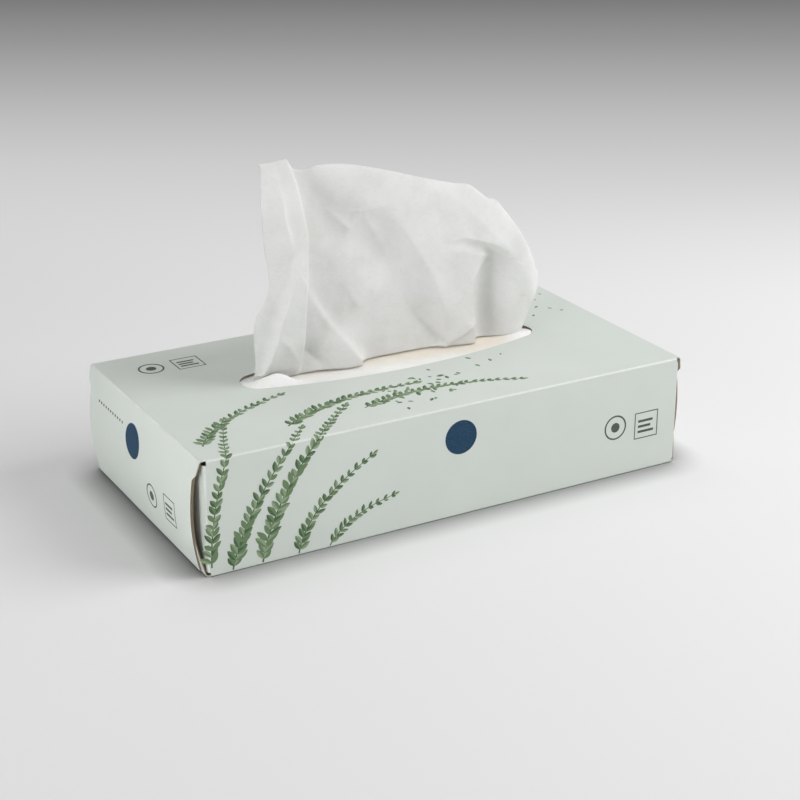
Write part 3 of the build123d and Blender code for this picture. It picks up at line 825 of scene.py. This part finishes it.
def print_loose_leaf(ink, draw):
    """One leaf blown off, left out where it would lie at the mouth or past an edge of the top."""
    share = draw.random() ** LOOSE_CROWDING
    u = LOOSE_START[0] + LOOSE_RUN[0] * share + draw.gauss(0, LOOSE_SPREAD[0])
    v = LOOSE_START[1] + LOOSE_RUN[1] * share + draw.gauss(0, LOOSE_SPREAD[1])
    turn = draw.uniform(0, 2 * math.pi)
    size = draw.uniform(*LOOSE_SIZE) * (1 - LOOSE_LOSS * share)
    tones = draw.choice(LOOSE_TONES)
    x, y, _ = on_wrap(u, v, 0)
    from_middle = abs(x - MOUTH_X)
    half_width = mouth_half_width(min(from_middle, MOUTH_REACH))
    at_mouth = from_middle < MOUTH_CLEAR and abs(y - MOUTH_Y) < half_width + LOOSE_MARGIN
    on_panel = abs(x) < LENGTH / 2 - LOOSE_MARGIN and y < WIDTH / 2 - LOOSE_MARGIN
    if on_panel and not at_mouth:
        ink.leaf(on_wrap, (u, v), turn, LEAF_LENGTH * size, LEAF_WIDTH * size * LOOSE_BREADTH, tones)


def sprig_print():
    """Leafy sprigs that climb the front and turn over on to the top, and leaves blown off them."""
    draw = random.Random(PRINT_SEED)
    ink = Ink("leaf_print")
    for start, bend, end, size in SPRIGS:
        print_sprig(ink, draw, start, bend, end, size)
    for _ in range(LOOSE_LEAVES):
        print_loose_leaf(ink, draw)
    return ink.build([ink_material(*shade) for shade in LEAF_INKS])


def plain_marks():
    """Plain navy discs and fine grey rings, squares and dots where a pack carries its small print."""
    ink = Ink("plain_marks")
    ink.disc(on_front, FRONT_DISC, DISC_RADIUS, NAVY)
    ink.disc(on_end, END_DISC, DISC_RADIUS, NAVY)
    marks = ((on_front, FRONT_MARKS), (on_end, END_MARKS), (on_top, TOP_MARKS))
    for place, (middle, corner, size) in marks:
        ink.ring(place, middle, size * RING_OUTER, size * RING_INNER, GREY)
        ink.disc(place, middle, size * RING_DOT, GREY, RING_DOT_SIDES)
        ink.square(place, corner, size, SQUARE_LINE, GREY)
        u, v = corner
        for row, end in enumerate(BAR_ENDS):
            low = v + size * (BAR_LOW + BAR_PITCH * row)
            ink.bar(place, (u + size * BAR_START, low), (u + size * end, low + size * BAR_HEIGHT), GREY)
    for dot in range(DOTS):
        ink.disc(on_end, (DOT_START[0] - DOT_PITCH * dot, DOT_START[1]), DOT_RADIUS, GREY, DOT_SIDES)
    return ink.build([ink_material(*shade) for shade in MARK_INKS])


def view_camera():
    """Camera at the photograph's place."""
    data = bpy.data.cameras.new("camera")
    data.lens = LENS
    data.sensor_width = SENSOR
    camera = bpy.data.objects.new("camera", data)
    bpy.context.collection.objects.link(camera)
    eye, target = Vector(EYE) * MM, Vector(TARGET) * MM
    camera.location = eye
    camera.rotation_mode = "QUATERNION"
    camera.rotation_quaternion = (target - eye).to_track_quat("-Z", "Y")
    bpy.context.scene.camera = camera


def area_light(name, place, aim, width, power, spread):
    """Soft round lamp, whose light may be kept to a narrow spread."""
    data = bpy.data.lights.new(name, "AREA")
    data.shape = "DISK"
    data.size = width
    data.energy = power
    data.spread = math.radians(spread)
    lamp = bpy.data.objects.new(name, data)
    lamp.location = place
    lamp.rotation_mode = "QUATERNION"
    lamp.rotation_quaternion = (Vector(aim) - Vector(place)).to_track_quat("-Z", "Y")
    bpy.context.collection.objects.link(lamp)


def srgb(red, green, blue):
    """Linear colour from 8-bit screen values."""
    def line(value):
        share = value / 255
        return share / 12.92 if share <= 0.04045 else ((share + 0.055) / 1.055) ** 2.4
    return (line(red), line(green), line(blue), 1.0)


def new_material(name):
    """Empty node material and its tree."""
    material = bpy.data.materials.new(name)
    material.use_nodes = True
    material.node_tree.nodes.clear()
    return material, material.node_tree


def node(tree, kind, inputs=None, **settings):
    """Add a shader node, with its inputs given as values or as sockets to link."""
    made = tree.nodes.new(kind)
    for key, value in settings.items():
        setattr(made, key, value)
    for key, value in (inputs or {}).items():
        if isinstance(value, bpy.types.NodeSocket):
            tree.links.new(value, made.inputs[key])
        else:
            made.inputs[key].default_value = value
    return made


def calc(tree, operation, first, second=0.0, third=0.0):
    """One sum of numbers, as a socket."""
    return node(tree, "ShaderNodeMath", {0: first, 1: second, 2: third}, operation=operation).outputs[0]


def product(tree, *factors):
    """Product of several numbers, as a socket."""
    total = factors[0]
    for factor in factors[1:]:
        total = calc(tree, "MULTIPLY", total, factor)
    return total


def largest(tree, *values):
    """Largest of several numbers, as a socket."""
    most = values[0]
    for value in values[1:]:
        most = calc(tree, "MAXIMUM", most, value)
    return most


def magnitudes(tree, vector):
    """X, Y and Z of a vector without their signs, as sockets."""
    parts = node(tree, "ShaderNodeSeparateXYZ", {0: vector}).outputs
    return [calc(tree, "ABSOLUTE", part) for part in parts]


def dot(tree, first, second):
    """Dot product of two vectors, as a socket."""
    return node(tree, "ShaderNodeVectorMath", {0: first, 1: second}, operation="DOT_PRODUCT").outputs[1]


def mixed(tree, share, first, second):
    """Mix of two colours, as a socket."""
    return node(tree, "ShaderNodeMix", {0: share, 6: first, 7: second}, data_type="RGBA").outputs[2]


def remap(tree, value, low, high, kind="SMOOTHSTEP"):
    """Value carried from a range to shares from 0 to 1, as a socket."""
    inputs = {0: value, 1: low, 2: high, 3: 0.0, 4: 1.0}
    return node(tree, "ShaderNodeMapRange", inputs, interpolation_type=kind).outputs[0]


def noise(tree, vector, kind):
    """Cloudy noise, as a socket."""
    scale, detail, roughness = kind
    inputs = {"Vector": vector, "Scale": scale, "Detail": detail, "Roughness": roughness}
    return node(tree, "ShaderNodeTexNoise", inputs).outputs[0]


def clouded(tree, share, pair):
    """Mix of a pair of screen colours, as a socket."""
    return mixed(tree, share, srgb(*pair[0]), srgb(*pair[1]))


def bumped(tree, height, strength):
    """Normal that a height in metres bends, as a socket."""
    return node(tree, "ShaderNodeBump", {"Strength": strength, "Distance": 1.0, "Height": height}).outputs[0]


def surface(tree, colour, roughness, specular, **more):
    """Matt or satin surface, as a socket."""
    inputs = {"Base Color": colour, "Roughness": roughness, "Specular IOR Level": specular, **more}
    return node(tree, "ShaderNodeBsdfPrincipled", inputs).outputs[0]


def finish_material(tree, shader):
    """Send a shader to the material's output."""
    node(tree, "ShaderNodeOutputMaterial", {"Surface": shader})


def cut_edges(tree, place, leans):
    """Share of the board that is a cut edge: of the end flaps, the mouth and the panels' rims."""
    x, y, z = magnitudes(tree, place)
    nx, _, nz = leans
    in_end = calc(tree, "GREATER_THAN", x, (LENGTH / 2 - END_DEPTH) * MM)
    edge_on = calc(tree, "LESS_THAN", nx, STEEP)
    within = calc(tree, "LESS_THAN", y, (WIDTH / 2 - FLAP_INSET) * MM)
    below = calc(tree, "LESS_THAN", z, (HEIGHT - PANEL_CLEAR) * MM)
    above = calc(tree, "GREATER_THAN", z, PANEL_CLEAR * MM)
    flap_cut = product(tree, in_end, edge_on, within, below, above)
    sideways = calc(tree, "LESS_THAN", nz, STEEP)
    at_top = calc(tree, "GREATER_THAN", z, (HEIGHT - BOARD - LIP_SLACK) * MM)
    at_mouth = calc(tree, "LESS_THAN", y, MOUTH_WIDTH * MM)
    amid = calc(tree, "LESS_THAN", x, MOUTH_LENGTH * MOUTH_SHARE * MM)
    mouth_cut = product(tree, sideways, at_top, at_mouth, amid)
    end_on = calc(tree, "GREATER_THAN", nx, END_ON)
    outermost = calc(tree, "GREATER_THAN", y, (WIDTH / 2 - BOARD - RIM_SLACK) * MM)
    return largest(tree, flap_cut, mouth_cut, product(tree, end_on, outermost))


def board_material():
    """Coated folding board: satin print side, raw grey-brown core at cuts, plain inside."""
    material, tree = new_material("printed_board")
    place = node(tree, "ShaderNodeTexCoord").outputs["Object"]
    normal = node(tree, "ShaderNodeNewGeometry").outputs["True Normal"]
    centre = (0, 0, HEIGHT / 2 * MM)
    from_centre = node(tree, "ShaderNodeVectorMath", {0: place, 1: centre}, operation="SUBTRACT").outputs[0]
    outside = calc(tree, "GREATER_THAN", dot(tree, from_centre, normal), 0.0)
    leans = magnitudes(tree, normal)
    cut = cut_edges(tree, place, leans)

    at_fold = product(tree, remap(tree, largest(tree, *leans), *FOLD_TURN), outside)
    scuff = remap(tree, noise(tree, place, SCUFF), *SCUFF_RANGE)
    worn = product(tree, at_fold, calc(tree, "MULTIPLY_ADD", scuff, WEAR_GAIN, WEAR_BASE))

    cloud = noise(tree, place, COAT_CLOUD)
    fibre = noise(tree, place, FIBRE)
    coat = clouded(tree, cloud, COAT)
    coat = mixed(tree, product(tree, fibre, FIBRE_SHARE), coat, srgb(*COAT_FIBRE))
    coat = mixed(tree, worn, coat, srgb(*COAT_WORN))
    raw = clouded(tree, noise(tree, place, RAW_GRAIN), RAW_BOARD)
    core = clouded(tree, noise(tree, place, CORE_GRAIN), BOARD_CORE)
    colour = mixed(tree, cut, mixed(tree, outside, raw, coat), core)

    printed = product(tree, outside, calc(tree, "SUBTRACT", 1.0, cut))
    gloss = calc(tree, "MULTIPLY_ADD", cloud, COAT_ROUGHNESS_GAIN, COAT_ROUGHNESS)
    rough = calc(tree, "MULTIPLY_ADD", calc(tree, "SUBTRACT", 1.0, printed), BARE_ROUGHNESS_GAIN, gloss)
    warp = product(tree, noise(tree, place, WARP), WARP_HEIGHT)
    bump = bumped(tree, calc(tree, "MULTIPLY_ADD", fibre, FIBRE_HEIGHT, warp), BOARD_BUMP)
    finish_material(tree, surface(tree, colour, rough, BOARD_SPECULAR, Normal=bump))
    return material


def tissue_material(name, through, painted_shade):
    """Two-ply tissue: matt white fibres with fine crepe lines, and light that passes through.
    Deep in the mouth it is painted with a warm shade that stands in for light bounced off the bare board
    round it."""
    material, tree = new_material(name)
    place = node(tree, "ShaderNodeTexCoord").outputs["Object"]
    cloud = noise(tree, place, TISSUE_CLOUD)
    colour = clouded(tree, remap(tree, cloud, *WHITE_RANGE), TISSUE_WHITES)
    along = node(tree, "ShaderNodeSeparateXYZ", {0: place}).outputs[0]
    # Painted shade: deep in the mouth and amid its length the tissue is tinted warm, standing in for shade
    # and light bounced off the bare board
    from_middle = calc(tree, "ABSOLUTE", calc(tree, "SUBTRACT", along, PAINTED_SHADE_MIDDLE * MM))
    amid = product(tree, remap(tree, from_middle, *[end * MM for end in PAINTED_SHADE_ENDS]), painted_shade)
    painted_shade_share = remap(tree, dot(tree, place, PAINTED_SHADE_WAY), *[end * MM for end in PAINTED_SHADE_RANGE])
    colour = mixed(tree, product(tree, painted_shade_share, amid), colour, srgb(*TISSUE_PAINTED_SHADE))
    stretched = node(tree, "ShaderNodeMapping", {"Vector": place, "Scale": CREPE_STRETCH}).outputs[0]
    crepe = noise(tree, stretched, CREPE)
    speck = product(tree, remap(tree, crepe, *SPECK_RANGE), SPECK_SHARE)
    colour = mixed(tree, speck, colour, srgb(*TISSUE_SPECK))
    crumple = product(tree, noise(tree, place, CRUMPLE), CRUMPLE_HEIGHT)
    bump = bumped(tree, calc(tree, "MULTIPLY_ADD", crepe, CREPE_HEIGHT, crumple), TISSUE_BUMP)
    face = surface(tree, colour, TISSUE_ROUGHNESS, TISSUE_SPECULAR, Normal=bump)
    glow = node(tree, "ShaderNodeBsdfTranslucent", {"Color": colour, "Normal": bump}).outputs[0]
    finish_material(tree, node(tree, "ShaderNodeMixShader", {0: through, 1: face, 2: glow}).outputs[0])
    return material


def ink_material(name, dark, light):
    """Offset ink with the slight mottle of print on board."""
    material, tree = new_material(name)
    place = node(tree, "ShaderNodeTexCoord").outputs["Object"]
    mottle = noise(tree, place, MOTTLE)
    gap = product(tree, remap(tree, noise(tree, place, FIBRE), *INK_GAP_RANGE), INK_GAP_SHARE)
    colour = mixed(tree, gap, clouded(tree, mottle, (dark, light)), srgb(*INK_GAP))
    rough = calc(tree, "MULTIPLY_ADD", mottle, INK_ROUGHNESS_GAIN, INK_ROUGHNESS)
    finish_material(tree, surface(tree, colour, rough, INK_SPECULAR))
    return material


def floor_material():
    """Pale floor with a painted contact shadow where the carton meets it, and painted falloff into grey far
    behind.
    """
    material, tree = new_material("floor")
    place = node(tree, "ShaderNodeTexCoord").outputs["Object"]
    away = Vector((TARGET[0] - EYE[0], TARGET[1] - EYE[1], 0)).normalized()
    start = (EYE[0] * away.x + EYE[1] * away.y) * MM
    far = calc(tree, "SUBTRACT", dot(tree, place, tuple(away)), start)
    ramp = node(tree, "ShaderNodeValToRGB", {0: remap(tree, far, FLOOR_NEAR * MM, FLOOR_FAR * MM, "LINEAR")})
    elements = ramp.color_ramp.elements
    elements[0].position, elements[1].position = PAINTED_FALLOFF_GREYS[0][0], PAINTED_FALLOFF_GREYS[-1][0]
    for position, _ in PAINTED_FALLOFF_GREYS[1:-1]:
        elements.new(position)
    for element, (_, grey) in zip(elements, PAINTED_FALLOFF_GREYS):
        element.color = srgb(grey, grey, grey)
    path = node(tree, "ShaderNodeLightPath")
    seen = largest(tree, path.outputs["Is Camera Ray"], path.outputs["Is Glossy Ray"])
    # Painted shadow: ambient occlusion darkens the floor's colour by the carton, for camera and glossy rays
    # only
    open_share = node(tree, "ShaderNodeAmbientOcclusion", {"Distance": PAINTED_SHADOW_REACH * MM}).outputs["AO"]
    painted_shadow = calc(tree, "SUBTRACT", 1.0, calc(tree, "POWER", open_share, PAINTED_SHADOW_DEPTH))
    colour = mixed(tree, product(tree, seen, painted_shadow), srgb(*FLOOR_COLOUR), (0, 0, 0, 1))
    lit = node(tree, "ShaderNodeBsdfDiffuse", {"Color": colour}).outputs[0]
    # Painted shade: far off, the floor glows in greys that darken with distance, standing in for light
    # falling off
    painted_falloff = node(tree, "ShaderNodeEmission", {"Color": ramp.outputs[0]}).outputs[0]
    share = product(tree, seen, remap(tree, far, *[end * MM for end in FLOOR_FADE]))
    finish_material(tree, node(tree, "ShaderNodeMixShader", {0: share, 1: lit, 2: painted_falloff}).outputs[0])
    return material


def studio_world():
    """Even white light from all round, dimmer from the side that the front panel faces."""
    world = bpy.data.worlds.new("world")
    world.use_nodes = True
    tree = world.node_tree
    towards = node(tree, "ShaderNodeTexCoord").outputs["Generated"]
    y = node(tree, "ShaderNodeSeparateXYZ", {0: towards}).outputs[1]
    front = calc(tree, "MAXIMUM", product(tree, y, -1.0), 0.0)
    change = WORLD_FRONT - WORLD_LIGHT
    strength = calc(tree, "MULTIPLY_ADD", product(tree, front, front), change, WORLD_LIGHT)
    background = tree.nodes["Background"]
    background.inputs[0].default_value = (1, 1, 1, 1)
    tree.links.new(strength, background.inputs[1])
    return world


def stage():
    """Floor and lights."""
    sides = ((-1, -1), (1, -1), (1, 1), (-1, 1))
    corners = [(x * FLOOR_REACH, y * FLOOR_REACH, 0) for x, y in sides]
    floor = add_mesh("floor", corners, [(0, 1, 2, 3)])
    floor.data.materials.append(floor_material())
    bpy.context.scene.world = studio_world()
    for lamp in LAMPS:
        area_light(*lamp)
    bpy.context.scene.view_settings.view_transform = "Standard"


def main():
    """Dress every node and stand it on the stage."""
    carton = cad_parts["carton"]
    carton.data.materials.clear()
    carton.data.materials.append(board_material())
    tissue = tissue_material("tissue", TISSUE_THROUGH, 0.0)
    tissue_inside = tissue_material("tissue_inside", INSIDE_THROUGH, INSIDE_PAINTED_SHADE)
    drawn = raised_tissue()
    drawn.data.materials.append(tissue)
    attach(drawn, "root")
    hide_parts("raised_tissue")
    following = next_tissue()
    following.data.materials.append(tissue_inside)
    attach(following, "root")
    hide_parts("next_tissue")
    pad = tissue_pad()
    pad.data.materials.append(tissue)
    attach(pad, "root")
    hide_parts("tissue_stack")
    for piece in (sprig_print(), plain_marks()):
        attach(piece, "root")
    view_camera()
    stage()


main()
